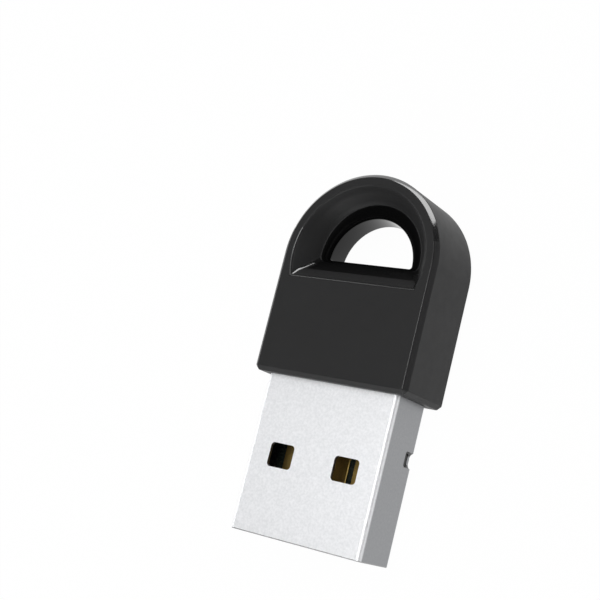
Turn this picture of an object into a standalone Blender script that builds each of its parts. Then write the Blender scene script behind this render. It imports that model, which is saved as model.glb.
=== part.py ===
"""A radio adapter the size of a thumbnail: a folded steel plug in a black housing that ends in a strap loop.

Metres, +Z up. The adapter lies on its back: X is its width, +Y runs from the plug's end to the loop's top, and
+Z is the face that shows the recess and the contacts. The origin is the middle of the footprint.
"""

import math

import bmesh
import bpy

MM = 0.001

# Plug shell, folded from sheet steel
PLUG_LENGTH = 12.5 * MM  # from the housing's mouth to the plug's end
PLUG_WIDTH = 12.0 * MM
PLUG_HEIGHT = 4.5 * MM
SHEET = 0.3 * MM
BEND_RADIUS = 0.08 * MM  # inside the fold
SHELL_SEAT = 4.0 * MM  # length held inside the housing
LEAD_IN = 0.08 * MM
WINDOW_WIDTH = 2.2 * MM
WINDOW_LENGTH = 1.9 * MM
WINDOW_RADIUS = 0.3 * MM
WINDOW_OFFSET = 2.97 * MM  # from the centre line
WINDOW_FROM_END = 6.25 * MM
NOTCH_LENGTH = 1.22 * MM
NOTCH_RISE = 1.44 * MM  # up the side wall
NOTCH_REACH = 0.4 * MM  # in across the back
NOTCH_RADIUS = 0.25 * MM
NOTCH_FROM_END = 8.2 * MM
SEAM_GAP = 0.08 * MM
DOVETAIL_LENGTH = 1.4 * MM
DOVETAIL_DEPTH = 1.0 * MM
DOVETAIL_FLARE = 0.25 * MM
BARB_LENGTH = 1.0 * MM
BARB_HEIGHT = 1.6 * MM
BARB_RISE = 0.25 * MM
BARB_SETBACK = 1.4 * MM  # from the shell's back edge

# Housing, one moulding round the shell
SIDE_WALL = 1.0 * MM
FACE_WALL = 0.95 * MM
STRAIGHT_LENGTH = 9.85 * MM  # from the mouth to the loop's centre
EDGE_CHAMFER = 0.35 * MM
END_WALL = 1.47 * MM  # between the board's pocket and the recess

# Strap hole: a D shaped recess in each face, a flat ledge, and a D shaped bore, rounded at both ends, through
# the web between them
LOOP_RIM = 1.0 * MM  # of the face, round the recess
FLAT_DROP = 1.93 * MM  # of the recess's flat, below the loop's centre
WEB_THICKNESS = 2.6 * MM
RECESS_RUN = 1.46 * MM  # how far in the recess's wall slopes, at its round side
RECESS_FLAT_RUN = 1.82 * MM
RECESS_CORNER = 0.1 * MM
RIM_ROUND = 0.12 * MM
LEDGE_WIDTH = 0.77 * MM  # with the bore's rounding
LEDGE_FLAT_WIDTH = 0.23 * MM
LEDGE_LIFT = 0.45 * MM  # of its centre, above the loop's
BORE_LIFT = 0.15 * MM
BORE_CORNER = 0.15 * MM
BORE_ROUND = 0.4 * MM
BORE_FLAT_ROUND = 0.2 * MM  # along the ledge, at the flat

# Contact tongue: a board on a moulded carrier, with four contact blades
BLADE_THICKNESS = 0.15 * MM
BLADE_WIDTH = 1.75 * MM
BLADE_GAP = 1.5 * MM  # from the back of the blades to the pieces on the board
OUTER_BLADE_START = 1.0 * MM  # from the plug's end
INNER_BLADE_START = 2.0 * MM
OUTER_BLADE_OFFSET = 3.24 * MM
INNER_BLADE_OFFSET = 1.0 * MM
BOARD_THICKNESS = 0.8 * MM
BOARD_SIDE_GAP = 0.15 * MM
BOARD_CORNER = 0.4 * MM
CARRIER_INSET = 0.25 * MM  # behind the plug's end
CARRIER_SETBACK = 1.3 * MM  # from the shell's back edge
CARRIER_WALL = 1.05 * MM  # behind its pocket
CARRIER_SIDE_GAP = 0.13 * MM
LIP_LENGTH = 0.5 * MM

# Electronic pieces: length along X, width along Y, height
ANTENNA = (3.2 * MM, 1.6 * MM, 1.1 * MM)
RADIO_CHIP = (4.0 * MM, 4.0 * MM, 0.85 * MM)
CRYSTAL = (3.2 * MM, 2.5 * MM, 0.7 * MM)
MEMORY_CHIP = (3.0 * MM, 2.0 * MM, 0.75 * MM)
FILTER = (1.6 * MM, 0.8 * MM, 0.6 * MM)
LARGE_PASSIVE = (1.6 * MM, 0.8 * MM, 0.8 * MM)
SMALL_CAPACITOR = (1.0 * MM, 0.5 * MM, 0.5 * MM)
SMALL_RESISTOR = (1.0 * MM, 0.5 * MM, 0.35 * MM)
CAP_SHARE = 0.25  # of a passive's length, for each metal end
CAP_RISE = 0.03 * MM
PIN_MARK_RADIUS = 0.2 * MM
PIN_MARK_DEPTH = 0.06 * MM
PIN_MARK_INSET = 0.6 * MM
LID_STEP = 0.12 * MM
ROW_GAP = 0.4 * MM
BOARD_MARGIN = 0.3 * MM
POCKET_MARGIN = 0.35 * MM  # round the pieces under the board
POCKET_FLOOR = 0.13 * MM

# Clearances
FIT = 0.03 * MM  # between pieces that seat on each other
SLIDE = 0.05 * MM  # round the shell and the board in the housing
HEADROOM = 0.4 * MM
OVER = 1.0 * MM  # how far a cutter runs past a face

ARC_STEPS = 48
CORNER_STEPS = 5

BLACK = (0.028, 0.028, 0.029)
STEEL = (0.62, 0.63, 0.64)
GOLD = (0.62, 0.42, 0.14)
BOARD_GREEN = (0.012, 0.02, 0.014)
CERAMIC_WHITE = (0.75, 0.73, 0.68)
CERAMIC_TAN = (0.36, 0.24, 0.14)
FERRITE_GREY = (0.10, 0.10, 0.11)

HOUSING_WIDTH = PLUG_WIDTH + 2 * SIDE_WALL
HOUSING_DEPTH = PLUG_HEIGHT + 2 * FACE_WALL
INSIDE_WIDTH = PLUG_WIDTH - 2 * SHEET
INSIDE_HEIGHT = PLUG_HEIGHT - 2 * SHEET
BOARD_WIDTH = INSIDE_WIDTH - 2 * BOARD_SIDE_GAP

POCKET_WIDTH = MEMORY_CHIP[0] + SMALL_CAPACITOR[0] + 3 * POCKET_MARGIN

# Places along the adapter, from the housing's mouth
PLUG_END = -PLUG_LENGTH
LOOP_TOP = STRAIGHT_LENGTH + HOUSING_WIDTH / 2
RECESS_FLAT = STRAIGHT_LENGTH - FLAT_DROP
BOARD_BACK = RECESS_FLAT - END_WALL - SLIDE
CARRIER_FRONT = PLUG_END + CARRIER_INSET
CARRIER_BACK = SHELL_SEAT - CARRIER_SETBACK
BOARD_FRONT = CARRIER_FRONT + LIP_LENGTH + FIT
POCKET_CENTRE = CARRIER_BACK - CARRIER_WALL - POCKET_MARGIN - MEMORY_CHIP[1] / 2

# Heights, from the middle of the plug
CARRIER_BOTTOM = FIT - INSIDE_HEIGHT / 2
CARRIER_TOP = CARRIER_BOTTOM + POCKET_FLOOR + MEMORY_CHIP[2] + FIT
BOARD_BOTTOM = CARRIER_TOP + FIT
BOARD_TOP = BOARD_BOTTOM + BOARD_THICKNESS
BLADE_BOTTOM = BOARD_TOP + FIT


def clear_scene():
    for item in list(bpy.data.objects):
        bpy.data.objects.remove(item)


def surface(name, colour, roughness, metallic=0.0):
    made = bpy.data.materials.new(name)
    made.use_nodes = True
    shader = made.node_tree.nodes["Principled BSDF"]
    shader.inputs["Base Color"].default_value = (*colour, 1.0)
    shader.inputs["Roughness"].default_value = roughness
    shader.inputs["Metallic"].default_value = metallic
    return made


def arc(centre, radius, start, end, steps):
    """Points on a circle, from one angle to the other, both ends included."""
    turns = [start + (end - start) * step / steps for step in range(steps + 1)]
    return [(centre[0] + radius * math.cos(turn), centre[1] + radius * math.sin(turn)) for turn in turns]


def rounded_rectangle(width, height, radius, centre=(0.0, 0.0)):
    points = []
    for quarter, (side, end) in enumerate(((1, 1), (-1, 1), (-1, -1), (1, -1))):
        middle = (centre[0] + side * (width / 2 - radius), centre[1] + end * (height / 2 - radius))
        start = quarter * math.pi / 2
        points += arc(middle, radius, start, start + math.pi / 2, CORNER_STEPS)
    return points


def d_shape(radius, centre, flat, corner):
    """A circle cut off by a flat below it, with both corners rounded. Every D has as many points."""
    lift = flat + corner - centre
    reach = math.sqrt((radius - corner) ** 2 - lift**2)
    lean = math.atan2(lift, reach)
    right = arc((reach, flat + corner), corner, -math.pi / 2, lean, CORNER_STEPS)
    top = arc((0, centre), radius, lean, math.pi - lean, ARC_STEPS)
    left = arc((-reach, flat + corner), corner, math.pi - lean, 1.5 * math.pi, CORNER_STEPS)
    return right[:-1] + top + left[1:]


def solid(name, rings, parent, look=None):
    """A closed mesh through rings of 3D points, with a flat face on the first ring and on the last."""
    mesh = bpy.data.meshes.new(name)
    shape = bmesh.new()
    loops = [[shape.verts.new(point) for point in ring] for ring in rings]
    shape.faces.new(loops[0])
    shape.faces.new(loops[-1])
    for low, high in zip(loops, loops[1:]):
        for step, corner in enumerate(low):
            after = (step + 1) % len(low)
            shape.faces.new((corner, low[after], high[after], high[step]))
    bmesh.ops.recalc_face_normals(shape, faces=shape.faces)
    shape.to_mesh(mesh)
    shape.free()
    made = bpy.data.objects.new(name, mesh)
    bpy.context.scene.collection.objects.link(made)
    made.parent = parent
    if look:
        mesh.materials.append(look)
        mesh.shade_smooth()
        mesh.set_sharp_from_angle(angle=math.radians(30))
    return made


def ring(outline, axis, place):
    """A flat outline set across one axis, at a place along it."""
    if axis == "X":
        return [(place, a, b) for a, b in outline]
    if axis == "Y":
        return [(a, place, b) for a, b in outline]
    return [(a, b, place) for a, b in outline]


def prism(name, outline, axis, start, end, parent, look=None):
    return solid(name, [ring(outline, axis, start), ring(outline, axis, end)], parent, look)


def block(name, size, middle, parent, look=None, edge=0.0):
    """A box by its size and its middle, with its edges rounded where an edge radius is given."""
    half = [side / 2 for side in size]
    corners = ((-half[0], -half[1]), (half[0], -half[1]), (half[0], half[1]), (-half[0], half[1]))
    made = prism(name, corners, "Z", -half[2], half[2], parent, look)
    made.location = middle
    if edge:
        bevel_edges(made, edge, 2)
    return made


def bevel_edges(item, width, steps):
    bevel = item.modifiers.new("edges", "BEVEL")
    bevel.width = width
    bevel.segments = steps
    bevel.limit_method = "ANGLE"


def combine(item, tool, operation):
    """Cuts a helper shape out of an item, or joins it on, and hides the helper."""
    tool.hide_render = True
    tool.display_type = "WIRE"
    boolean = item.modifiers.new(tool.name, "BOOLEAN")
    boolean.operation = operation
    boolean.object = tool
    boolean.solver = "EXACT"


def cut(item, *tools):
    for tool in tools:
        combine(item, tool, "DIFFERENCE")


def join(item, *tools):
    for tool in tools:
        combine(item, tool, "UNION")


def strap_hole(parent):
    """The cutter for both recesses and the bore, from over the front face down to under the back face."""
    radius = HOUSING_WIDTH / 2 - LOOP_RIM
    face = HOUSING_DEPTH / 2
    ledge = WEB_THICKNESS / 2

    def recess(depth, grow=0.0):
        share = depth / (face - ledge)
        return d_shape(
            radius - RECESS_RUN * share + grow,
            STRAIGHT_LENGTH + LEDGE_LIFT * share,
            RECESS_FLAT + RECESS_FLAT_RUN * share - grow,
            RECESS_CORNER,
        )

    def bore(grow):
        return d_shape(
            radius - RECESS_RUN - LEDGE_WIDTH + grow,
            STRAIGHT_LENGTH + BORE_LIFT,
            RECESS_FLAT + RECESS_FLAT_RUN + LEDGE_FLAT_WIDTH - grow * BORE_FLAT_ROUND / BORE_ROUND,
            BORE_CORNER + grow,
        )

    levels = [(face + OVER, recess(0.0, RIM_ROUND))]
    for turn in (0.0, math.pi / 6, math.pi / 3, math.pi / 2):
        depth = RIM_ROUND * (1 - math.cos(turn))
        levels.append((face - depth, recess(depth, RIM_ROUND * (1 - math.sin(turn)))))
    levels.append((ledge, recess(face - ledge)))
    for turn in (0.0, math.pi / 8, math.pi / 4, 3 * math.pi / 8, math.pi / 2):
        depth = BORE_ROUND * (1 - math.cos(turn))
        levels.append((ledge - depth, bore(BORE_ROUND * (1 - math.sin(turn)))))
    levels += [(-height, outline) for height, outline in reversed(levels)]
    return solid("strap_hole_cutter", [ring(outline, "Z", height) for height, outline in levels], parent)


def barb_outline(side, grow=0.0):
    """A barb seen from above. It rises away from the mouth, which lets the shell in and not out again."""
    root = side * (PLUG_WIDTH - SHEET) / 2
    low = side * (PLUG_WIDTH / 2 + grow)
    high = side * (PLUG_WIDTH / 2 + BARB_RISE + grow)
    start = SHELL_SEAT - BARB_SETBACK - BARB_LENGTH - grow
    end = SHELL_SEAT - BARB_SETBACK + grow
    return [(root, start), (low, start), (high, end), (root, end)]


def barb(name, side, grow, parent):
    half = BARB_HEIGHT / 2 + grow
    return prism(name, barb_outline(side, grow), "Z", -half, half, parent)


def housing(parent, look):
    half = HOUSING_WIDTH / 2
    outline = [(-half, 0.0), (half, 0.0)] + arc((0, STRAIGHT_LENGTH), half, 0.0, math.pi, ARC_STEPS)
    made = prism("housing", outline, "Z", -HOUSING_DEPTH / 2, HOUSING_DEPTH / 2, parent, look)
    bevel_edges(made, EDGE_CHAMFER, 1)
    shell_pocket = prism(
        "shell_pocket_cutter",
        rounded_rectangle(PLUG_WIDTH + 2 * SLIDE, PLUG_HEIGHT + 2 * SLIDE, BEND_RADIUS + SHEET + SLIDE),
        "Y",
        -OVER,
        SHELL_SEAT + FIT,
        parent,
    )
    floor = BOARD_BOTTOM - SLIDE
    ceiling = BOARD_TOP + FIT + ANTENNA[2] + HEADROOM
    back = BOARD_BACK + SLIDE
    board_pocket = block(
        "board_pocket_cutter",
        (BOARD_WIDTH + 2 * SLIDE, back, ceiling - floor),
        (0.0, back / 2, (ceiling + floor) / 2),
        parent,
    )
    slots = [barb(f"barb_slot_{number}_cutter", side, SLIDE, parent) for number, side in ((1, -1), (2, 1))]
    cut(made, strap_hole(parent), shell_pocket, board_pocket, *slots)


def seam(parent):
    """The cutter for the fold's closing seam down the middle of the back, with two dovetails that lock it."""
    path = [(0.0, PLUG_END - OVER)]
    space = (SHELL_SEAT - PLUG_END) / 3
    for number in (1, 2):
        middle = PLUG_END + number * space
        near, far = middle - DOVETAIL_LENGTH / 2, middle + DOVETAIL_LENGTH / 2
        path.append((0.0, near))
        path.append((DOVETAIL_DEPTH, near - DOVETAIL_FLARE))
        path.append((DOVETAIL_DEPTH, far + DOVETAIL_FLARE))
        path.append((0.0, far))
    path.append((0.0, SHELL_SEAT + OVER))
    outline = beside(path, SEAM_GAP / 2) + beside(path, -SEAM_GAP / 2)[::-1]
    return prism("seam_cutter", outline, "Z", -PLUG_HEIGHT / 2 - OVER, 0.0, parent)


def beside(path, distance):
    """A path's points moved sideways, so that every stretch lies at one distance from where it was."""
    moved = []
    for step, (x, y) in enumerate(path):
        nearby = path[max(step - 1, 0) : step + 2]
        turns = [math.atan2(b[1] - a[1], b[0] - a[0]) for a, b in zip(nearby, nearby[1:])]
        spread = (turns[-1] - turns[0] + math.pi) % (2 * math.pi) - math.pi
        heading = turns[0] + spread / 2 + math.pi / 2
        reach = distance / math.cos(spread / 2)
        moved.append((x + reach * math.cos(heading), y + reach * math.sin(heading)))
    return moved


def plug_shell(parent, look):
    corner = BEND_RADIUS + SHEET
    tip = rounded_rectangle(PLUG_WIDTH - 2 * LEAD_IN, PLUG_HEIGHT - 2 * LEAD_IN, corner - LEAD_IN)
    skin = rounded_rectangle(PLUG_WIDTH, PLUG_HEIGHT, corner)
    rings = ring(tip, "Y", PLUG_END), ring(skin, "Y", PLUG_END + LEAD_IN), ring(skin, "Y", SHELL_SEAT)
    made = solid("plug_shell", rings, parent, look)
    inside = rounded_rectangle(INSIDE_WIDTH, INSIDE_HEIGHT, BEND_RADIUS)
    join(made, *[barb(f"barb_{number}_tool", side, 0.0, parent) for number, side in ((1, -1), (2, 1))])
    cut(made, prism("shell_inside_cutter", inside, "Y", PLUG_END - OVER, SHELL_SEAT + OVER, parent))
    for number, side in ((1, -1), (2, 1)):
        middle = (side * WINDOW_OFFSET, PLUG_END + WINDOW_FROM_END)
        window = rounded_rectangle(WINDOW_WIDTH, WINDOW_LENGTH, WINDOW_RADIUS, middle)
        cut(made, prism(f"window_{number}_cutter", window, "Z", -PLUG_HEIGHT, PLUG_HEIGHT, parent))
        place = (PLUG_END + NOTCH_FROM_END, -PLUG_HEIGHT / 2)
        notch = rounded_rectangle(NOTCH_LENGTH, 2 * NOTCH_RISE, NOTCH_RADIUS, place)
        start, end = side * (PLUG_WIDTH / 2 - NOTCH_REACH), side * (PLUG_WIDTH / 2 + OVER)
        cut(made, prism(f"notch_{number}_cutter", notch, "X", start, end, parent))
    cut(made, seam(parent))


def contact_carrier(parent, look):
    """The moulding under the board. A lip covers the board's edge, and a pocket takes the pieces under it."""
    width = INSIDE_WIDTH - 2 * CARRIER_SIDE_GAP
    length = CARRIER_BACK - CARRIER_FRONT
    made = block(
        "contact_carrier",
        (width, length, CARRIER_TOP - CARRIER_BOTTOM),
        (0.0, CARRIER_FRONT + length / 2, (CARRIER_TOP + CARRIER_BOTTOM) / 2),
        parent,
        look,
    )
    lip = block(
        "lip_tool",
        (width, LIP_LENGTH, BOARD_TOP - CARRIER_BOTTOM),
        (0.0, CARRIER_FRONT + LIP_LENGTH / 2, (BOARD_TOP + CARRIER_BOTTOM) / 2),
        parent,
    )
    join(made, lip)
    pocket = block(
        "pocket_cutter",
        (POCKET_WIDTH, MEMORY_CHIP[1] + 2 * POCKET_MARGIN, PLUG_HEIGHT),
        (0.0, POCKET_CENTRE, CARRIER_BOTTOM),
        parent,
    )
    cut(made, pocket)


def circuit_board(parent, look):
    middle = (0.0, (BOARD_FRONT + BOARD_BACK) / 2)
    outline = rounded_rectangle(BOARD_WIDTH, BOARD_BACK - BOARD_FRONT, BOARD_CORNER, middle)
    prism("circuit_board", outline, "Z", BOARD_BOTTOM, BOARD_TOP, parent, look)


def contact_blades(back, parent, look):
    for name, offset, start in (
        ("power_contact", OUTER_BLADE_OFFSET, OUTER_BLADE_START),
        ("data_minus_contact", INNER_BLADE_OFFSET, INNER_BLADE_START),
        ("data_plus_contact", -INNER_BLADE_OFFSET, INNER_BLADE_START),
        ("ground_contact", -OUTER_BLADE_OFFSET, OUTER_BLADE_START),
    ):
        front = PLUG_END + start
        block(
            name,
            (BLADE_WIDTH, back - front, BLADE_THICKNESS),
            (offset, (back + front) / 2, BLADE_BOTTOM + BLADE_THICKNESS / 2),
            parent,
            look,
            BLADE_THICKNESS / 4,
        )


def chip(name, size, middle, facing, parent, look):
    """A flat moulded package with a round mark over its first pin, on the side away from the board."""
    made = block(name, size, middle, parent, look)
    place = (middle[0] - size[0] / 2 + PIN_MARK_INSET, middle[1] + size[1] / 2 - PIN_MARK_INSET)
    top = middle[2] + facing * size[2] / 2
    bottom = top - facing * PIN_MARK_DEPTH
    mark = arc(place, PIN_MARK_RADIUS, 0.0, 2 * math.pi, 16)[:-1]
    cut(made, prism(f"{name}_mark_cutter", mark, "Z", bottom, top + facing * OVER, parent))


def canned(name, size, middle, facing, parent, look):
    """A ceramic tray with a metal lid that is set in from its edge."""
    x, y, z = middle
    tray = (size[0], size[1], size[2] / 2)
    made = block(name, tray, (x, y, z - facing * size[2] / 4), parent, look)
    lid = (size[0] - 2 * LID_STEP, size[1] - 2 * LID_STEP, size[2] - LID_STEP)
    join(made, block(f"{name}_lid_tool", lid, (x, y, z + facing * LID_STEP / 2), parent))


def passive(name, size, middle, facing, parent, look):
    """A chip part: a body with a metal cap on each end, a little proud of the body."""
    x, y, z = middle
    body = (size[0] - 2 * CAP_RISE, size[1] - 2 * CAP_RISE, size[2] - CAP_RISE)
    made = block(name, body, (x, y, z - facing * CAP_RISE / 2), parent, look)
    length = size[0] * CAP_SHARE
    for number, side in ((1, -1), (2, 1)):
        place = (x + side * (size[0] - length) / 2, y, z)
        join(made, block(f"{name}_cap_{number}_tool", (length, size[1], size[2]), place, parent))


def make_row(row, width, middle, base, facing, parent, looks):
    """A row of pieces across the board with equal gaps, all on one height of the board."""
    gap = (width - sum(size[0] for _, _, size, _ in row)) / (len(row) + 1)
    left = -width / 2
    for name, make, size, look in row:
        place = (left + gap + size[0] / 2, middle, base + facing * size[2] / 2)
        make(name, size, place, facing, parent, looks[look])
        left += gap + size[0]


def pieces_on_board(parent, looks):
    """Rows of pieces from the board's back edge towards the blades. Returns where the last row ends."""
    rows = (
        (("antenna", passive, ANTENNA, "ceramic"), ("ferrite_bead", passive, LARGE_PASSIVE, "ferrite")),
        (
            ("rf_filter", passive, FILTER, "ceramic"),
            ("capacitor_1", passive, SMALL_CAPACITOR, "tan"),
            ("capacitor_2", passive, SMALL_CAPACITOR, "tan"),
            ("bulk_capacitor", passive, LARGE_PASSIVE, "tan"),
        ),
        (("radio_chip", chip, RADIO_CHIP, "chip"), ("crystal", canned, CRYSTAL, "can")),
        (
            ("capacitor_3", passive, SMALL_CAPACITOR, "tan"),
            ("capacitor_4", passive, SMALL_CAPACITOR, "tan"),
            ("resistor_1", passive, SMALL_RESISTOR, "chip"),
            ("resistor_2", passive, SMALL_RESISTOR, "chip"),
            ("resistor_3", passive, SMALL_RESISTOR, "chip"),
        ),
    )
    front = BOARD_BACK - BOARD_MARGIN + ROW_GAP
    for row in rows:
        depth = max(size[1] for _, _, size, _ in row)
        middle = front - ROW_GAP - depth / 2
        make_row(row, BOARD_WIDTH, middle, BOARD_TOP + FIT, 1, parent, looks)
        front = middle - depth / 2
    return front


def pieces_under_board(parent, looks):
    row = (("memory_chip", chip, MEMORY_CHIP, "chip"), ("capacitor_5", passive, SMALL_CAPACITOR, "tan"))
    make_row(row, POCKET_WIDTH, POCKET_CENTRE, BOARD_BOTTOM - FIT, -1, parent, looks)


def main():
    clear_scene()
    mouth = bpy.data.objects.new("mouth_centre", None)
    bpy.context.scene.collection.objects.link(mouth)
    mouth.location = (0.0, -(LOOP_TOP + PLUG_END) / 2, HOUSING_DEPTH / 2)
    black = surface("black_plastic", BLACK, 0.5)
    looks = {
        "chip": surface("chip_plastic", BLACK, 0.6),
        "can": surface("can_metal", STEEL, 0.3, 1.0),
        "ceramic": surface("white_ceramic", CERAMIC_WHITE, 0.5),
        "tan": surface("tan_ceramic", CERAMIC_TAN, 0.5),
        "ferrite": surface("ferrite", FERRITE_GREY, 0.6),
    }
    housing(mouth, black)
    plug_shell(mouth, surface("shell_steel", STEEL, 0.35, 1.0))
    contact_carrier(mouth, black)
    circuit_board(mouth, surface("board", BOARD_GREEN, 0.4))
    rows_end = pieces_on_board(mouth, looks)
    pieces_under_board(mouth, looks)
    contact_blades(rows_end - BLADE_GAP, mouth, surface("gold", GOLD, 0.3, 1.0))


main()
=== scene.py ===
import math

import bmesh
import bpy
from mathutils import Matrix, Vector


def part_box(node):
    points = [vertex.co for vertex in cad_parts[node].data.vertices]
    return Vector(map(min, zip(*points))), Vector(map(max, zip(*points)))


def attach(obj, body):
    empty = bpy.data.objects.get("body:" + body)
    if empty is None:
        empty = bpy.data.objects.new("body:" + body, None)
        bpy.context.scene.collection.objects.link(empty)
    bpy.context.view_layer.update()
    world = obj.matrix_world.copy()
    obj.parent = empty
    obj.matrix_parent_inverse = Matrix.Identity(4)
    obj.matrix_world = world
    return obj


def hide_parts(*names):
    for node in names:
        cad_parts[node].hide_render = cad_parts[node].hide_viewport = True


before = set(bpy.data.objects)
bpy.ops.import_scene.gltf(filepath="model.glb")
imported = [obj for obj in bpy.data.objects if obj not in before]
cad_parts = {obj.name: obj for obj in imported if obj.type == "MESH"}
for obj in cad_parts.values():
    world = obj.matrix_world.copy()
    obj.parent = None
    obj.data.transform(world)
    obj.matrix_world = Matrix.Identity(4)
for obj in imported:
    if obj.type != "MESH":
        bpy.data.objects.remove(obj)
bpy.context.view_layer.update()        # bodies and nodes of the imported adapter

# Metres. X is the adapter's width, +Y runs from the plug's end to the loop's top, and +Z points out of the front.
MM = 0.001
HOUSING_LOW, HOUSING_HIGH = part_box("housing")
SHELL_LOW, SHELL_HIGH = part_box("plug_shell")
BOARD_LOW, BOARD_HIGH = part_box("circuit_board")
ANTENNA_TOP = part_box("antenna")[1].z

# Housing
HALF_WIDTH = HOUSING_HIGH.x
MOUTH = HOUSING_LOW.y
DEPTH = HOUSING_HIGH.z
MIDDLE = DEPTH / 2
LOOP_CENTRE = HOUSING_HIGH.y - HALF_WIDTH
EDGE_CHAMFER = 0.35 * MM
EDGE_SOFT = 0.06 * MM  # the rounding of the chamfer's borders
EDGE_SOFT_STEPS = 3
ARC_STEPS = 96
CORNER_STEPS = 8

# Strap hole: a recess in each face, a flat ledge, and a bore through the web between them
LOOP_RIM = 1.0 * MM
FLAT_DROP = 1.93 * MM
HALF_WEB = 1.3 * MM
RECESS_RUN = 1.46 * MM  # how far the recess narrows from the rim to the foot, on its round side
RECESS_FLAT_RUN = 1.82 * MM  # and on its flat side
RECESS_CORNER = 0.1 * MM
CORNER_GROWTH = 0.45 * MM  # of the recess's corners, from the rim to the foot
RIM_ROUND = 0.12 * MM
RIM_STEPS = 6
RUBBED_RISE = 2.0 * MM  # above the loop's centre, where the rubbed rim ends and the rubbed chamfer starts
FOOT_ROUND = 0.05 * MM
BOW_DEPTH = 0.6 * MM
BOW = 0.15 * MM  # how far the recess's round side bellies out at this depth
STEP_DEPTH = 0.9 * MM  # where the flat side turns from satin to the dim black of painted shade
STEP_BOW = 0.14 * MM
VALLEY_DEPTH = 1.5 * MM  # where the rubbed stretch of the recess's corners ends
VALLEY_BOW = 0.09 * MM
LEDGE_WIDTH = 0.77 * MM
LEDGE_FLAT_WIDTH = 0.23 * MM  # at the flat side
LEDGE_LIFT = 0.45 * MM  # of the foot's centre over the rim's
BORE_LIFT = 0.15 * MM  # of the bore's centre over the rim's
BORE_CORNER = 0.15 * MM
BORE_ROUND = 0.4 * MM
BORE_FLAT_ROUND = 0.2 * MM  # at the flat side
BORE_STEPS = 10
POLISH_START = 0.65  # share of the bore's rounding where its polish begins
SPREAD = 2 * HALF_WIDTH  # between the Ds while they are drawn
RECESS_RADIUS = HALF_WIDTH - LOOP_RIM
RECESS_FLAT = LOOP_CENTRE - FLAT_DROP

# Plug shell
PLUG_END = SHELL_LOW.y
PLUG_HALF_WIDTH = 6.0 * MM
SHEET = 0.3 * MM
BEND_RADIUS = 0.08 * MM
BEND_STEPS = 6
LEAD_IN = 0.08 * MM
LEAD_IN_STEPS = 3
WINDOW_WIDTH = 2.2 * MM
WINDOW_LENGTH = 1.9 * MM
WINDOW_RADIUS = 0.3 * MM
WINDOW_OFFSET = 2.97 * MM
WINDOW_FROM_END = 6.25 * MM
NOTCH_LENGTH = 1.22 * MM
NOTCH_RISE = 1.44 * MM
NOTCH_REACH = 0.4 * MM
NOTCH_RADIUS = 0.25 * MM
NOTCH_PLAN_RADIUS = 0.35 * MM
NOTCH_FROM_END = 8.2 * MM
SEAM_GAP = 0.08 * MM
DOVETAIL_LENGTH = 1.4 * MM
DOVETAIL_DEPTH = 1.0 * MM
DOVETAIL_FLARE = 0.25 * MM
BARB_LENGTH = 1.0 * MM
BARB_HEIGHT = 1.6 * MM
BARB_RISE = 0.25 * MM
BARB_SETBACK = 1.4 * MM

SLIDE = 0.05 * MM  # round the shell and the board in the housing
HEADROOM = 0.4 * MM  # over the antenna
OVER = 1.0 * MM  # how far a cutter runs past a face
WELD = 1e-7
NEAR = 1e-6  # how far apart two places may lie and still count as one
SHARP = math.radians(35)
FLAT_TURN = math.radians(0.5)  # faces that turn by less become one

# Angles between two faces, in radians: square edges turn by more than the first, a chamfer's borders by the second
SQUARE_TURN = 1.0
BORDER_TURN = 0.6

# Shares of a face's normal along an axis
FACING = 0.9  # along the axis that a face looks along
LEVEL = 0.999  # along Z, on a flat face
CHAMFER_LEAN = (0.5, 0.9)  # along Z, on the chamfer
BORDER_LEAN = (0.72, 0.97)  # along Z, on the chamfer's inner border
SLOPE_LEAN = 0.3  # along Y, on the recess's flat side
CORNER_LEAN = 0.02  # along X, in the recess's corners
CUT_LEAN = 0.5  # along Z, less than this on the cut edges of the windows
NOTCH_LEAN = 0.2  # along Y, on the cut edges of the notches
END_LEAN = 0.1  # along Y, on the shell's open end


def begin(name):
    """Names the new primitive, puts its place into its mesh, and opens it for editing."""
    piece = bpy.context.object
    piece.name = name
    piece.data.name = name
    bpy.ops.object.transform_apply()
    bpy.ops.object.mode_set(mode="EDIT")
    return piece


def end():
    """Turns all faces outwards and closes the piece."""
    bpy.ops.mesh.select_all(action="SELECT")
    bpy.ops.mesh.normals_make_consistent(inside=False)
    bpy.ops.object.mode_set(mode="OBJECT")


def pick(kind, test):
    """In edit mode, selects the corners, edges or faces that pass a test."""
    bpy.ops.mesh.select_mode(type=kind)
    bpy.ops.mesh.select_all(action="DESELECT")
    mesh = bpy.context.edit_object.data
    shape = bmesh.from_edit_mesh(mesh)
    parts = {"VERT": shape.verts, "EDGE": shape.edges, "FACE": shape.faces}[kind]
    for part in parts:
        if test(part):
            part.select_set(True)
    shape.select_flush_mode()
    bmesh.update_edit_mesh(mesh)


def middle_of(edge):
    return (edge.verts[0].co + edge.verts[1].co) / 2


def runs_along(edge, axis):
    along = edge.verts[1].co - edge.verts[0].co
    return abs(along[axis]) > 0.99 * along.length


def turned(edge):
    """How far the surface turns at an edge."""
    return edge.calc_face_angle(0.0)


def bevel(width, steps):
    """Bevels the selected edges, with one step to a chamfer and with more to a rounding."""
    bpy.ops.mesh.bevel(offset=width, segments=steps, profile=0.5, affect="EDGES")


def block(name, low, high):
    """A cuboid between two corners, open for editing."""
    bpy.ops.object.select_all(action="DESELECT")
    size = [far - near for near, far in zip(low, high)]
    middle = [(near + far) / 2 for near, far in zip(low, high)]
    bpy.ops.mesh.primitive_cube_add(size=1, location=middle, scale=size)
    return begin(name)


def rounded_block(name, low, high, axis, radius):
    """A cuboid with the four edges along one axis rounded."""
    made = block(name, low, high)
    pick("EDGE", lambda edge: runs_along(edge, axis))
    bevel(radius, CORNER_STEPS)
    end()
    return made


def choose(piece):
    bpy.ops.object.select_all(action="DESELECT")
    piece.select_set(True)
    bpy.context.view_layer.objects.active = piece


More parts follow.
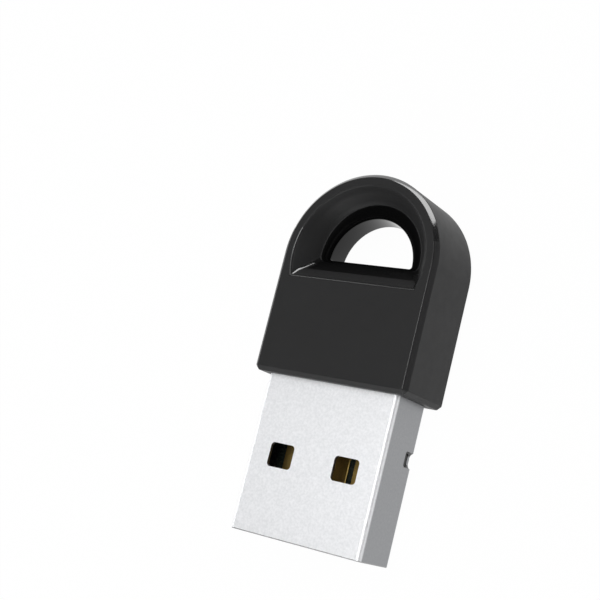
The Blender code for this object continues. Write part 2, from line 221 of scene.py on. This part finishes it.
def apply(piece, kind, **settings):
    """Adds a modifier, sets it and applies it."""
    modifier = piece.modifiers.new(kind.title(), kind)
    for name, value in settings.items():
        setattr(modifier, name, value)
    choose(piece)
    bpy.ops.object.modifier_apply(modifier=modifier.name)


def combine(piece, operation, *tools):
    """Cuts the tools out of a piece, or joins them on, and deletes them."""
    for tool in tools:
        apply(piece, "BOOLEAN", operation=operation, object=tool, solver="EXACT")
        bpy.data.objects.remove(tool)


def smooth(piece):
    """Smooths the rounded stretches and keeps the flat faces flat."""
    choose(piece)
    bpy.ops.object.shade_smooth_by_angle(angle=SHARP)
    apply(piece, "WEIGHTED_NORMAL", keep_sharp=True, weight=50)


def new_point(place):
    """In edit mode, adds a plane and merges it to one selected point."""
    bpy.ops.mesh.primitive_plane_add(size=MM, location=place)
    bpy.ops.mesh.merge(type="CENTER")


def sweep(centre, height, turn, steps):
    """Spins the selected point round a centre, anticlockwise seen from above, and leaves its end selected."""
    bpy.ops.mesh.spin(steps=steps, angle=-turn, center=(*centre, height), axis=(0, 0, 1))


def draw_d(radius, centre, flat, corner, height):
    """Draws a D as a closed loop: a circle cut off by a flat below it, with both corners rounded."""
    lift = flat + corner - centre
    reach = math.sqrt((radius - corner) ** 2 - lift**2)
    lean = math.atan2(lift, reach)
    bpy.ops.mesh.select_all(action="DESELECT")
    new_point((reach, flat, height))
    sweep((reach, flat + corner), height, math.pi / 2 + lean, CORNER_STEPS)
    sweep((0, centre), height, math.pi - 2 * lean, ARC_STEPS)
    sweep((-reach, flat + corner), height, math.pi / 2 + lean, CORNER_STEPS)
    bpy.ops.mesh.extrude_vertices_move(TRANSFORM_OT_translate={"value": (2 * reach, 0, 0)})
    bpy.ops.mesh.select_all(action="SELECT")
    bpy.ops.mesh.remove_doubles(threshold=WELD)


def pick_open_edges():
    bpy.ops.mesh.select_mode(type="EDGE")
    bpy.ops.mesh.select_all(action="DESELECT")
    bpy.ops.mesh.select_non_manifold(use_wire=True, use_boundary=True, use_multi_face=False,
                                     use_non_contiguous=False, use_verts=False)


def strap_hole():
    """The cutter for both recesses and the bore: a stack of bridged Ds over the middle, and its mirror image.

    The Ds are drawn and bridged far apart, and then moved to their heights.
    """

    def recess(depth, grow=0.0, flat_grow=0.0):
        """The recess's D at a depth under the face, widened on its round side and on its flat side."""
        share = depth / (MIDDLE - HALF_WEB)
        return (
            RECESS_RADIUS - RECESS_RUN * share + grow,
            LOOP_CENTRE + LEDGE_LIFT * share,
            RECESS_FLAT + RECESS_FLAT_RUN * share - flat_grow,
            RECESS_CORNER + CORNER_GROWTH * share,
        )

    def bore(grow=0.0):
        """The bore's D, widened by its rounding."""
        return (
            RECESS_RADIUS - RECESS_RUN - LEDGE_WIDTH + grow,
            LOOP_CENTRE + BORE_LIFT,
            RECESS_FLAT + RECESS_FLAT_RUN + LEDGE_FLAT_WIDTH - grow * BORE_FLAT_ROUND / BORE_ROUND,
            BORE_CORNER + grow,
        )

    levels = [(MIDDLE + OVER, recess(0.0, RIM_ROUND, RIM_ROUND))]
    for step in range(RIM_STEPS + 1):
        turn = math.pi / 2 * step / RIM_STEPS
        depth = RIM_ROUND * (1 - math.cos(turn))
        grow = RIM_ROUND * (1 - math.sin(turn))
        levels.append((MIDDLE - depth, recess(depth, grow, grow)))
    for depth, grow in ((BOW_DEPTH, BOW), (STEP_DEPTH, STEP_BOW), (VALLEY_DEPTH, VALLEY_BOW)):
        levels.append((MIDDLE - depth, recess(depth, grow)))
    levels.append((HALF_WEB + FOOT_ROUND, recess(MIDDLE - HALF_WEB - FOOT_ROUND, FOOT_ROUND)))
    levels.append((HALF_WEB, recess(MIDDLE - HALF_WEB)))
    for step in range(BORE_STEPS + 1):
        turn = math.pi / 2 * step / BORE_STEPS
        levels.append((HALF_WEB - BORE_ROUND * (1 - math.cos(turn)), bore(BORE_ROUND * (1 - math.sin(turn)))))
    levels.append((0.0, bore()))
    heights, shapes = zip(*levels)

    bpy.ops.object.select_all(action="DESELECT")
    bpy.ops.mesh.primitive_plane_add(size=MM)
    cutter = begin("strap_hole_cutter")
    bpy.ops.mesh.select_mode(type="VERT")
    bpy.ops.mesh.delete(type="VERT")
    drawn_at = [-number * SPREAD for number in range(len(levels))]
    for place, shape in zip(drawn_at, shapes):
        bpy.ops.mesh.select_mode(type="VERT")
        draw_d(*shape, place)
        pick_open_edges()
        if place == 0:
            bpy.ops.mesh.edge_face_add()
        else:
            bpy.ops.mesh.bridge_edge_loops()
    for place, height in zip(drawn_at, heights):
        pick("VERT", lambda point: abs(point.co.z - place) < NEAR)
        bpy.ops.transform.translate(value=(0, 0, height - place))
    bpy.ops.object.mode_set(mode="OBJECT")
    apply(cutter, "MIRROR", use_axis=(False, False, True), merge_threshold=WELD)
    bpy.ops.object.mode_set(mode="EDIT")
    bpy.ops.mesh.select_all(action="SELECT")
    bpy.ops.transform.translate(value=(0, 0, MIDDLE))
    end()
    return cutter


def barb(name, side, grow=0.0):
    """A wedge that rises away from the mouth, on one side of the shell."""
    root = PLUG_HALF_WIDTH - SHEET / 2
    top = PLUG_HALF_WIDTH + BARB_RISE + grow
    end_place = SHELL_HIGH.y - BARB_SETBACK + grow
    start = SHELL_HIGH.y - BARB_SETBACK - BARB_LENGTH - grow
    half = BARB_HEIGHT / 2 + grow
    near, far = sorted((side * root, side * top))
    made = block(name, (near, start, MIDDLE - half), (far, end_place, MIDDLE + half))
    pick("VERT", lambda point: abs(point.co.x) > root + SHEET / 2 and point.co.y < start + WELD)
    bpy.ops.transform.translate(value=(-side * BARB_RISE, 0, 0))
    end()
    return made


def moulded_housing():
    """The housing: its block with chamfered edges, less the strap hole and the pockets for what it holds."""
    bpy.ops.object.select_all(action="DESELECT")
    bpy.ops.mesh.primitive_cylinder_add(
        vertices=2 * ARC_STEPS, radius=HALF_WIDTH, depth=DEPTH, location=(0, LOOP_CENTRE, MIDDLE)
    )
    made = begin("moulded_housing")
    bpy.ops.mesh.select_all(action="SELECT")
    bpy.ops.mesh.bisect(
        plane_co=(0, LOOP_CENTRE, 0), plane_no=(0, 1, 0), use_fill=True, clear_inner=True, threshold=WELD
    )
    pick("FACE", lambda face: face.normal.y < -FACING)
    bpy.ops.mesh.extrude_region_move(TRANSFORM_OT_translate={"value": (0, MOUTH - LOOP_CENTRE, 0)})
    bpy.ops.mesh.select_all(action="SELECT")
    bpy.ops.mesh.dissolve_limited(angle_limit=FLAT_TURN)
    pick("EDGE", lambda edge: turned(edge) > SQUARE_TURN)
    bevel(EDGE_CHAMFER, 1)
    pick("EDGE", lambda edge: turned(edge) > BORDER_TURN)
    bevel(EDGE_SOFT, EDGE_SOFT_STEPS)
    end()
    reach = PLUG_HALF_WIDTH + SLIDE
    shell_pocket = rounded_block(
        "shell_pocket_cutter",
        (-reach, MOUTH - OVER, SHELL_LOW.z - SLIDE),
        (reach, SHELL_HIGH.y + SLIDE, SHELL_HIGH.z + SLIDE),
        1,
        BEND_RADIUS + SHEET + SLIDE,
    )
    board_pocket = block(
        "board_pocket_cutter",
        (BOARD_LOW.x - SLIDE, MOUTH, BOARD_LOW.z - SLIDE),
        (BOARD_HIGH.x + SLIDE, BOARD_HIGH.y + SLIDE, ANTENNA_TOP + HEADROOM),
    )
    end()
    slots = [barb("barb_slot_cutter", side, SLIDE) for side in (-1, 1)]
    combine(made, "DIFFERENCE", strap_hole(), shell_pocket, board_pocket, *slots)
    smooth(made)
    return made


def seam_cutter():
    """A thin wall that follows the closing seam and its two dovetails down the middle of the back."""
    space = (SHELL_HIGH.y - PLUG_END) / 3
    path = [(0.0, PLUG_END - OVER)]
    for number in (1, 2):
        middle = PLUG_END + number * space
        near, far = middle - DOVETAIL_LENGTH / 2, middle + DOVETAIL_LENGTH / 2
        path.append((0.0, near))
        path.append((DOVETAIL_DEPTH, near - DOVETAIL_FLARE))
        path.append((DOVETAIL_DEPTH, far + DOVETAIL_FLARE))
        path.append((0.0, far))
    path.append((0.0, SHELL_HIGH.y + OVER))
    bpy.ops.object.select_all(action="DESELECT")
    bpy.ops.mesh.primitive_plane_add(size=MM, location=(*path[0], SHELL_LOW.z - OVER))
    made = begin("seam_cutter")
    bpy.ops.mesh.select_mode(type="VERT")
    bpy.ops.mesh.merge(type="CENTER")
    for (x, y), (next_x, next_y) in zip(path, path[1:]):
        bpy.ops.mesh.extrude_vertices_move(TRANSFORM_OT_translate={"value": (next_x - x, next_y - y, 0)})
    bpy.ops.mesh.select_all(action="SELECT")
    bpy.ops.mesh.extrude_region_move(TRANSFORM_OT_translate={"value": (0, 0, OVER + MIDDLE - SHELL_LOW.z)})
    end()
    apply(made, "SOLIDIFY", thickness=SEAM_GAP, offset=0.0, use_even_offset=True)
    return made


def outer(edge):
    """True for an edge on the outer skin of the shell's open end."""
    place = middle_of(edge)
    side = PLUG_HALF_WIDTH - abs(place.x)
    face = (SHELL_HIGH.z - SHELL_LOW.z) / 2 - abs(place.z - MIDDLE)
    corner = BEND_RADIUS + SHEET
    if side < corner and face < corner:
        return math.hypot(corner - side, corner - face) > corner - SHEET / 2
    return min(side, face) < SHEET / 2


def folded_shell():
    """The plug's shell: a bent sheet with its lead-in, barbs, windows, notches and closing seam."""
    low = (-PLUG_HALF_WIDTH, PLUG_END, SHELL_LOW.z)
    high = (PLUG_HALF_WIDTH, SHELL_HIGH.y, SHELL_HIGH.z)
    made = block("folded_shell", low, high)
    pick("EDGE", lambda edge: runs_along(edge, 1))
    bevel(BEND_RADIUS + SHEET, BEND_STEPS)
    pick("FACE", lambda face: abs(face.normal.y) > FACING)
    bpy.ops.mesh.delete(type="ONLY_FACE")
    end()
    apply(made, "SOLIDIFY", thickness=SHEET, offset=-1.0, use_even_offset=True)
    bpy.ops.object.mode_set(mode="EDIT")
    pick("EDGE", lambda edge: turned(edge) > SQUARE_TURN and abs(middle_of(edge).y - PLUG_END) < WELD and outer(edge))
    bevel(LEAD_IN, LEAD_IN_STEPS)
    end()
    combine(made, "UNION", *[barb("barb_tool", side) for side in (-1, 1)])
    for side in (-1, 1):
        x, y = side * WINDOW_OFFSET, PLUG_END + WINDOW_FROM_END
        window = rounded_block(
            "window_cutter",
            (x - WINDOW_WIDTH / 2, y - WINDOW_LENGTH / 2, SHELL_LOW.z - OVER),
            (x + WINDOW_WIDTH / 2, y + WINDOW_LENGTH / 2, SHELL_HIGH.z + OVER),
            2,
            WINDOW_RADIUS,
        )
        y = PLUG_END + NOTCH_FROM_END
        near, far = sorted((side * (PLUG_HALF_WIDTH - NOTCH_REACH), side * (PLUG_HALF_WIDTH + OVER)))
        notch = rounded_block(
            "notch_cutter",
            (near, y - NOTCH_LENGTH / 2, SHELL_LOW.z - NOTCH_RISE),
            (far, y + NOTCH_LENGTH / 2, SHELL_LOW.z + NOTCH_RISE),
            0,
            NOTCH_RADIUS,
        )
        bpy.ops.object.mode_set(mode="EDIT")
        pick("EDGE", lambda edge: runs_along(edge, 2) and abs(middle_of(edge).x) < PLUG_HALF_WIDTH)
        bevel(NOTCH_PLAN_RADIUS, CORNER_STEPS)
        end()
        combine(made, "DIFFERENCE", window, notch)
    combine(made, "DIFFERENCE", seam_cutter())
    smooth(made)
    return made


# Sockets of a colour mix, which share their names with those of its other kinds
MIX_FIRST, MIX_SECOND, MIX_RESULT = 6, 7, 2

# Colours that a mottling runs between, or single ones, and the millimetres from the middle over which the board's
# lacquer turns black as painted shade
STEEL_BRIGHT = ((0.83, 0.84, 0.855), (0.95, 0.955, 0.97))
# painted shade: a darker copy of the steel for the shell's sides and bends
STEEL_SIDE_SHADE = ((0.31, 0.315, 0.325), (0.37, 0.375, 0.385))
# painted shade: the dark colour of the cut edges in the windows and the notches
STEEL_CUT_EDGE_SHADE = (0.10, 0.10, 0.102)
# painted shade: the darker colour of the shell's open end and its lead-in
STEEL_END_SHADE = (0.36, 0.36, 0.365)
LACQUER = ((0.008, 0.013, 0.010), (0.013, 0.020, 0.015))
LACQUER_SHADE = (0.002, 0.002, 0.002)
LACQUER_SHADE_FROM = (4.8, 5.0)
FIBRE = ((0.10, 0.095, 0.05), (0.17, 0.16, 0.09))


class Look:
    """A material on its way: its nodes, its shader, and object coordinates in millimetres."""

    def __init__(self, name, colour, roughness, metallic=0.0, specular=0.5):
        self.material = bpy.data.materials.new(name)
        self.material.use_nodes = True
        self.nodes = self.material.node_tree.nodes
        self.links = self.material.node_tree.links
        self.shader = self.nodes["Principled BSDF"]
        self.shader.inputs["Base Color"].default_value = (*colour, 1.0)
        self.shader.inputs["Roughness"].default_value = roughness
        self.shader.inputs["Metallic"].default_value = metallic
        self.shader.inputs["Specular IOR Level"].default_value = specular
        place = self.nodes.new("ShaderNodeTexCoord")
        mapping = self.nodes.new("ShaderNodeMapping")
        mapping.inputs["Scale"].default_value = (1 / MM, 1 / MM, 1 / MM)
        self.links.new(place.outputs["Object"], mapping.inputs["Vector"])
        self.place = mapping.outputs["Vector"]

    def noise(self, size, detail=3.0, roughness=0.5):
        """Noise whose blobs are about as wide as the given size in millimetres."""
        made = self.nodes.new("ShaderNodeTexNoise")
        made.inputs["Scale"].default_value = 1 / size
        made.inputs["Detail"].default_value = detail
        made.inputs["Roughness"].default_value = roughness
        self.links.new(self.place, made.inputs["Vector"])
        return made.outputs["Fac"]

    def spread(self, source, low, high, from_low=0.3, from_high=0.7):
        """Maps a source from one range to another and holds it there."""
        made = self.nodes.new("ShaderNodeMapRange")
        made.inputs["From Min"].default_value = from_low
        made.inputs["From Max"].default_value = from_high
        made.inputs["To Min"].default_value = low
        made.inputs["To Max"].default_value = high
        self.links.new(source, made.inputs["Value"])
        return made.outputs["Result"]

    def blend(self, share, first, second):
        """A colour between two, each of which is a socket or three numbers."""
        made = self.nodes.new("ShaderNodeMix")
        made.data_type = "RGBA"
        self.links.new(share, made.inputs["Factor"])
        for socket, value in ((made.inputs[MIX_FIRST], first), (made.inputs[MIX_SECOND], second)):
            if isinstance(value, tuple):
                socket.default_value = (*value, 1.0)
            else:
                self.links.new(value, socket)
        return made.outputs[MIX_RESULT]

    def size_along(self, source, axis):
        """The size of a vector's part along an axis, whichever way it points."""
        split = self.nodes.new("ShaderNodeSeparateXYZ")
        self.links.new(source, split.inputs["Vector"])
        size = self.nodes.new("ShaderNodeMath")
        size.operation = "ABSOLUTE"
        self.links.new(split.outputs[axis], size.inputs[0])
        return size.outputs[0]

    def facing(self, axis):
        """1 where the surface faces along an axis, either way, and 0 where it stands square to it."""
        geometry = self.nodes.new("ShaderNodeNewGeometry")
        return self.size_along(geometry.outputs["Normal"], axis)

    def distance(self, axis):
        """How far the surface point lies from the middle of the adapter along an axis, in millimetres."""
        return self.size_along(self.place, axis)

    def colour(self, socket):
        self.links.new(socket, self.shader.inputs["Base Color"])

    def roughness(self, socket):
        self.links.new(socket, self.shader.inputs["Roughness"])

    def bump(self, source, height):
        """Raises the surface by a height in metres where the source is 1."""
        made = self.nodes.new("ShaderNodeBump")
        made.inputs["Distance"].default_value = height
        made.inputs["Strength"].default_value = 1.0
        self.links.new(source, made.inputs["Height"])
        self.links.new(made.outputs["Normal"], self.shader.inputs["Normal"])


def scaled(colour, share):
    return tuple(channel * share for channel in colour)


def black_plastic(name, colour, roughness, specular, ior=1.5):
    """Black moulding with a faint mottling, uneven gloss and a very fine grain."""
    look = Look(name, colour, roughness, specular=specular)
    look.shader.inputs["IOR"].default_value = ior
    look.colour(look.blend(look.noise(2.5), scaled(colour, 0.96), scaled(colour, 1.04)))
    look.roughness(look.spread(look.noise(0.8), roughness * 0.94, roughness * 1.06))
    look.bump(look.noise(0.06, 2.0), 0.0004 * MM)
    return look.material


def frosted_steel_with_painted_shade():
    """Bright frosting on the faces of the shell, and painted shade on its sides and bends: a darker copy of the same
    steel.
    """
    look = Look("frosted_steel_with_painted_shade", (0.87, 0.875, 0.885), 0.55, metallic=1.0)
    grain = look.noise(0.2, 4.0, 0.6)
    share = look.spread(grain, 0.0, 1.0)
    bright = look.blend(share, *STEEL_BRIGHT)
    side_shade = look.blend(share, *STEEL_SIDE_SHADE)
    # painted shade: where the surface turns away from Z, the steel takes its darker copy
    look.colour(look.blend(look.spread(look.facing("Z"), 0.0, 1.0, 0.1, 0.5), side_shade, bright))
    look.roughness(look.spread(grain, 0.50, 0.60))
    look.bump(look.noise(0.12, 3.0, 0.6), 0.003 * MM)
    return look.material


def plain(name, colour, roughness, metallic=0.0, size=0.4, height=0.001):
    """A quiet finish for a small piece: a little mottling, uneven gloss and a fine grain."""
    look = Look(name, colour, roughness, metallic)
    share = look.spread(look.noise(size), 0.0, 1.0)
    look.colour(look.blend(share, scaled(colour, 0.86), scaled(colour, 1.1)))
    look.roughness(look.spread(look.noise(size / 2), roughness * 0.85, roughness * 1.15))
    look.bump(look.noise(size / 5), height * MM)
    return look.material


def solder_mask_with_painted_shade():
    """Dark green lacquer on the board's faces, turned black towards its long sides as painted shade under the sheet,
    and bare glass fibre on its edges.
    """
    look = Look("solder_mask_with_painted_shade", (0.01, 0.016, 0.012), 0.3)
    weave = look.spread(look.noise(0.25, 2.0), 0.0, 1.0)
    lacquer = look.blend(weave, *LACQUER)
    # painted shade: the lacquer turns black towards the long sides, under the sheet
    side_shade_share = look.spread(look.distance("X"), 0.0, 1.0, *LACQUER_SHADE_FROM)
    lacquer = look.blend(side_shade_share, lacquer, LACQUER_SHADE)
    fibre = look.blend(weave, *FIBRE)
    look.colour(look.blend(look.spread(look.facing("Z"), 0.0, 1.0), fibre, lacquer))
    look.roughness(look.spread(weave, 0.26, 0.36))
    look.bump(weave, 0.002 * MM)
    return look.material


def dress(node, material):
    """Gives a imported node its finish."""
    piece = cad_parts[node]
    for slot in piece.material_slots:
        slot.material = material


def paint(piece, finishes):
    """Gives a piece its finishes: the first on all of it, and each other one on the faces that pass its test."""
    piece.data.materials.clear()
    bpy.ops.object.mode_set(mode="EDIT")
    for number, (material, where) in enumerate(finishes):
        piece.data.materials.append(material)
        if where:
            pick("FACE", where)
            piece.active_material_index = number
            bpy.ops.object.material_slot_assign()
    bpy.ops.object.mode_set(mode="OBJECT")


def level_of(face):
    """How far a face of the housing lies over or under its middle."""
    return abs(face.calc_center_median().z - MIDDLE)


def lean_of(face):
    """The share of a face's normal along Z, either way up."""
    return abs(face.normal.z)


def on_outer_edge(face):
    """True near the outer edges of the front and the back, away from the mouth."""
    place = face.calc_center_median()
    strip = EDGE_CHAMFER + EDGE_SOFT
    out = math.hypot(place.x, max(place.y - LOOP_CENTRE, 0.0)) > HALF_WIDTH - strip
    return out and level_of(face) > MIDDLE - strip and place.y > MOUTH + EDGE_CHAMFER


def in_valley(face):
    """True for the corners between the recess's round side and its flat side."""
    return level_of(face) > HALF_WEB and face.normal.y > SLOPE_LEAN and abs(face.normal.x) > CORNER_LEAN


def on_rubbed_edge(face):
    """True for the chamfer round the top of the loop, and for the upper part of the recess's corners."""
    if on_outer_edge(face):
        low, high = CHAMFER_LEAN
        return low < lean_of(face) < high and face.calc_center_median().y > LOOP_CENTRE + RUBBED_RISE
    return MIDDLE - VALLEY_DEPTH < level_of(face) < MIDDLE - EDGE_CHAMFER and in_valley(face)


def on_rubbed_rim(face):
    """True for the chamfer's inner border along the sides, and the recess's rim at its flat side and at the left."""
    place = face.calc_center_median()
    if on_outer_edge(face):
        low, high = BORDER_LEAN
        return low < lean_of(face) < high and place.y < LOOP_CENTRE + RUBBED_RISE
    inside = math.hypot(place.x, place.y - LOOP_CENTRE) < RECESS_RADIUS + RIM_ROUND
    rim = inside and level_of(face) > MIDDLE - RIM_ROUND and lean_of(face) < LEVEL
    on_foot = abs(place.y - RECESS_FLAT) < 2 * RIM_ROUND
    return rim and (on_foot or (place.x < 0 and place.y < LOOP_CENTRE + RUBBED_RISE))


def on_lower_slope(face):
    """True for the lower part of the recess's flat side, and for the foot of the corners at its ends, which get
    painted shade.
    """
    place = face.calc_center_median()
    if in_valley(face):
        return level_of(face) < MIDDLE - VALLEY_DEPTH
    flat_side = face.normal.y > SLOPE_LEAN and RECESS_FLAT < place.y < LOOP_CENTRE
    return flat_side and abs(face.normal.x) < CORNER_LEAN and HALF_WEB < level_of(face) < MIDDLE - STEP_DEPTH


def in_strap_hole(face):
    """True for the ledges, the bore and its rounding, which get painted shade."""
    place = face.calc_center_median()
    inside = math.hypot(place.x, place.y - LOOP_CENTRE) < RECESS_RADIUS - RECESS_RUN + LEDGE_LIFT
    return inside and level_of(face) < HALF_WEB + NEAR and place.y > RECESS_FLAT + RECESS_FLAT_RUN - WELD


def on_bore_wall(face):
    """True for the bore's wall and the last part of its rounding, which are polished and get the darkest painted
    shade.
    """
    return in_strap_hole(face) and level_of(face) < HALF_WEB - POLISH_START * BORE_ROUND


def finish_housing():
    """The housing with its black finishes, each with its colour, roughness, gloss and index of refraction."""
    piece = moulded_housing()
    paint(piece, [
        (black_plastic("satin_black", (0.0202, 0.0202, 0.0206), 0.45, 0.15), None),
        (black_plastic("rubbed_edge_black", (0.014, 0.014, 0.0143), 0.13, 0.9, 1.7), on_rubbed_edge),
        (black_plastic("rubbed_rim_black", (0.017, 0.017, 0.0173), 0.2, 0.5), on_rubbed_rim),
        # painted shade: the last three blacks darken step by step deeper in the strap hole, where the recess shades
        # it; the bore's wall also has a real polish
        (black_plastic("dim_black_painted_shade", (0.005, 0.005, 0.0051), 0.4, 0.1), on_lower_slope),
        (black_plastic("deep_black_painted_shade", (0.003, 0.003, 0.0031), 0.3, 0.01), in_strap_hole),
        (black_plastic("polished_black_painted_shade", (0.002, 0.002, 0.0021), 0.03, 0.25), on_bore_wall),
    ])
    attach(piece, "root")
    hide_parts("housing")


def on_sheared_edge(face):
    """True for the cut edges of the sheet in the windows and the notches, which get a painted shade colour."""
    place = face.calc_center_median()
    in_window = (
        abs(abs(place.x) - WINDOW_OFFSET) < WINDOW_WIDTH / 2 + NEAR
        and abs(place.y - PLUG_END - WINDOW_FROM_END) < WINDOW_LENGTH / 2 + NEAR
    )
    in_notch = (
        abs(place.y - PLUG_END - NOTCH_FROM_END) < NOTCH_LENGTH / 2 + NEAR
        and place.z < SHELL_LOW.z + 2 * NOTCH_RISE
    )
    return (in_window and lean_of(face) < CUT_LEAN) or (in_notch and abs(face.normal.y) > NOTCH_LEAN)


def on_trimmed_end(face):
    """True for the open end of the shell and its lead-in, which get a painted shade colour."""
    return face.calc_center_median().y < PLUG_END + LEAD_IN and face.normal.y < -END_LEAN


def finish_shell():
    piece = folded_shell()
    paint(piece, [
        (frosted_steel_with_painted_shade(), None),
        (plain("cut_edge_painted_shade", STEEL_CUT_EDGE_SHADE, 0.45, 1.0, size=0.1), on_sheared_edge),
        (plain("end_painted_shade", STEEL_END_SHADE, 0.5, 1.0, size=0.1), on_trimmed_end),
    ])
    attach(piece, "root")
    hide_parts("plug_shell")


def dress_small_pieces():
    gold = plain("gold_plating", (0.38, 0.26, 0.085), 0.35, 1.0, size=0.12)
    chip = plain("chip_moulding", (0.02, 0.02, 0.021), 0.55, size=0.2)
    tan = plain("tan_ceramic", (0.36, 0.24, 0.14), 0.5, size=0.15)
    white = plain("white_ceramic", (0.75, 0.73, 0.68), 0.45, size=0.3)
    dress("contact_carrier", plain("carrier_moulding", (0.012, 0.012, 0.012), 0.5, size=0.5))
    dress("circuit_board", solder_mask_with_painted_shade())
    for name in ("power_contact", "data_minus_contact", "data_plus_contact", "ground_contact"):
        dress(name, gold)
    for name in ("radio_chip", "memory_chip", "resistor_1", "resistor_2", "resistor_3"):
        dress(name, chip)
    for name in ("bulk_capacitor", "capacitor_1", "capacitor_2", "capacitor_3", "capacitor_4", "capacitor_5"):
        dress(name, tan)
    for name in ("antenna", "rf_filter"):
        dress(name, white)
    dress("ferrite_bead", plain("ferrite_grey", (0.10, 0.10, 0.11), 0.6, size=0.2))
    dress("crystal", plain("can_metal", (0.6, 0.6, 0.6), 0.3, 1.0, size=0.3))


# Studio
FLOOR_GLOW = 0.98  # share of its own light in the floor, where the camera or a mirror sees it
FLOOR_WHITE = (0.85, 0.85, 0.85)
FLOOR_SIZE = 6.0
ROOM_WALL = (0.03, 0.03, 0.03)
ROOM_CEILING = (0.02, 0.02, 0.02)
WALL_TOP = 0.15
CEILING_START = 0.45
PANEL_DISTANCE = 0.3

# The photograph's view
CAMERA_LENS = 74.24  # millimetres, on a film 36 mm wide
CAMERA_FILM = 36.0
CAMERA_NEAR = 0.001
CAMERA_PLACE = (0.05134, -0.012325, 0.08518)
CAMERA_RIGHT = Vector((0.8156, 0.2433, -0.5249))
CAMERA_UP = Vector((-0.1096, 0.9558, 0.2727))

# Soft light panels: azimuth and elevation in degrees, width and height in metres, and power in watts
PANELS = {
    "back_low_panel": (84, 12, (0.28, 0.12), 0.4),
    "back_high_panel": (92, 58, (0.16, 0.16), 0.13),
    "back_left_panel": (130, 27, (0.08, 0.08), 0.045),
    "left_panel": (178, 21, (0.16, 0.16), 0.24),
    "front_left_panel": (252, 19, (0.16, 0.16), 0.28),
    "front_panel": (288, 19, (0.16, 0.16), 0.45),
    "right_panel": (12, 14, (0.24, 0.1), 0.12),
    "top_panel": (0, 88, (0.16, 0.16), 0.42),
}


def floor():
    """A white floor that takes shadows only faintly."""
    bpy.ops.object.select_all(action="DESELECT")
    bpy.ops.mesh.primitive_plane_add(size=FLOOR_SIZE, location=(0, 0, 0))
    made = bpy.context.object
    made.name = "studio_floor"
    material = bpy.data.materials.new("pale_floor")
    material.use_nodes = True
    nodes, links = material.node_tree.nodes, material.node_tree.links
    nodes.clear()
    out = nodes.new("ShaderNodeOutputMaterial")
    matt = nodes.new("ShaderNodeBsdfDiffuse")
    matt.inputs["Color"].default_value = (*FLOOR_WHITE, 1.0)
    glow = nodes.new("ShaderNodeEmission")
    mix = nodes.new("ShaderNodeMixShader")
    path = nodes.new("ShaderNodeLightPath")
    seen = path.outputs["Is Camera Ray"]
    for ray in ("Is Glossy Ray", "Is Transmission Ray"):
        total = nodes.new("ShaderNodeMath")
        total.operation = "ADD"
        total.use_clamp = True
        links.new(seen, total.inputs[0])
        links.new(path.outputs[ray], total.inputs[1])
        seen = total.outputs[0]
    share = nodes.new("ShaderNodeMath")
    share.operation = "MULTIPLY"
    share.inputs[1].default_value = FLOOR_GLOW
    links.new(seen, share.inputs[0])
    links.new(share.outputs[0], mix.inputs["Fac"])
    links.new(matt.outputs["BSDF"], mix.inputs[1])
    links.new(glow.outputs["Emission"], mix.inputs[2])
    links.new(mix.outputs["Shader"], out.inputs["Surface"])
    made.data.materials.append(material)


def room():
    """A dim wall all round and a dimmer ceiling."""
    world = bpy.data.worlds.new("studio_room")
    bpy.context.scene.world = world
    world.use_nodes = True
    nodes, links = world.node_tree.nodes, world.node_tree.links
    background = nodes["Background"]
    place = nodes.new("ShaderNodeTexCoord")
    split = nodes.new("ShaderNodeSeparateXYZ")
    links.new(place.outputs["Generated"], split.inputs["Vector"])
    ramp = nodes.new("ShaderNodeValToRGB")
    stops = ((WALL_TOP, ROOM_WALL), (CEILING_START, ROOM_CEILING))
    for stop, (height, colour) in zip(ramp.color_ramp.elements, stops):
        stop.position = height
        stop.color = (*colour, 1.0)
    links.new(split.outputs["Z"], ramp.inputs["Fac"])
    links.new(ramp.outputs["Color"], background.inputs["Color"])


def light(name, azimuth, elevation, size, power):
    """A soft light panel that looks at the adapter."""
    lamp = bpy.data.lights.new(name, "AREA")
    lamp.shape = "RECTANGLE"
    lamp.size, lamp.size_y = size
    lamp.energy = power
    made = bpy.data.objects.new(name, lamp)
    bpy.context.scene.collection.objects.link(made)
    turn, rise = math.radians(azimuth), math.radians(elevation)
    away = Vector((math.cos(rise) * math.cos(turn), math.cos(rise) * math.sin(turn), math.sin(rise)))
    made.location = Vector((0, 0, MIDDLE)) + PANEL_DISTANCE * away
    made.rotation_euler = away.to_track_quat("Z", "Y").to_euler()


def camera():
    """The photograph's view: from the adapter's right, above and a little towards its plug."""
    lens = bpy.data.cameras.new("photo_camera")
    lens.lens = CAMERA_LENS
    lens.sensor_width = CAMERA_FILM
    lens.clip_start = CAMERA_NEAR
    made = bpy.data.objects.new("photo_camera", lens)
    bpy.context.scene.collection.objects.link(made)
    back = CAMERA_RIGHT.cross(CAMERA_UP).normalized()
    turn = Matrix((CAMERA_RIGHT.normalized(), back.cross(CAMERA_RIGHT).normalized(), back)).transposed()
    made.matrix_world = Matrix.Translation(CAMERA_PLACE) @ turn.to_4x4()
    bpy.context.scene.camera = made


finish_housing()
finish_shell()
dress_small_pieces()
floor()
room()
for panel_name, panel in PANELS.items():
    light(panel_name, *panel)
camera()
bpy.context.scene.view_settings.view_transform = "Standard"
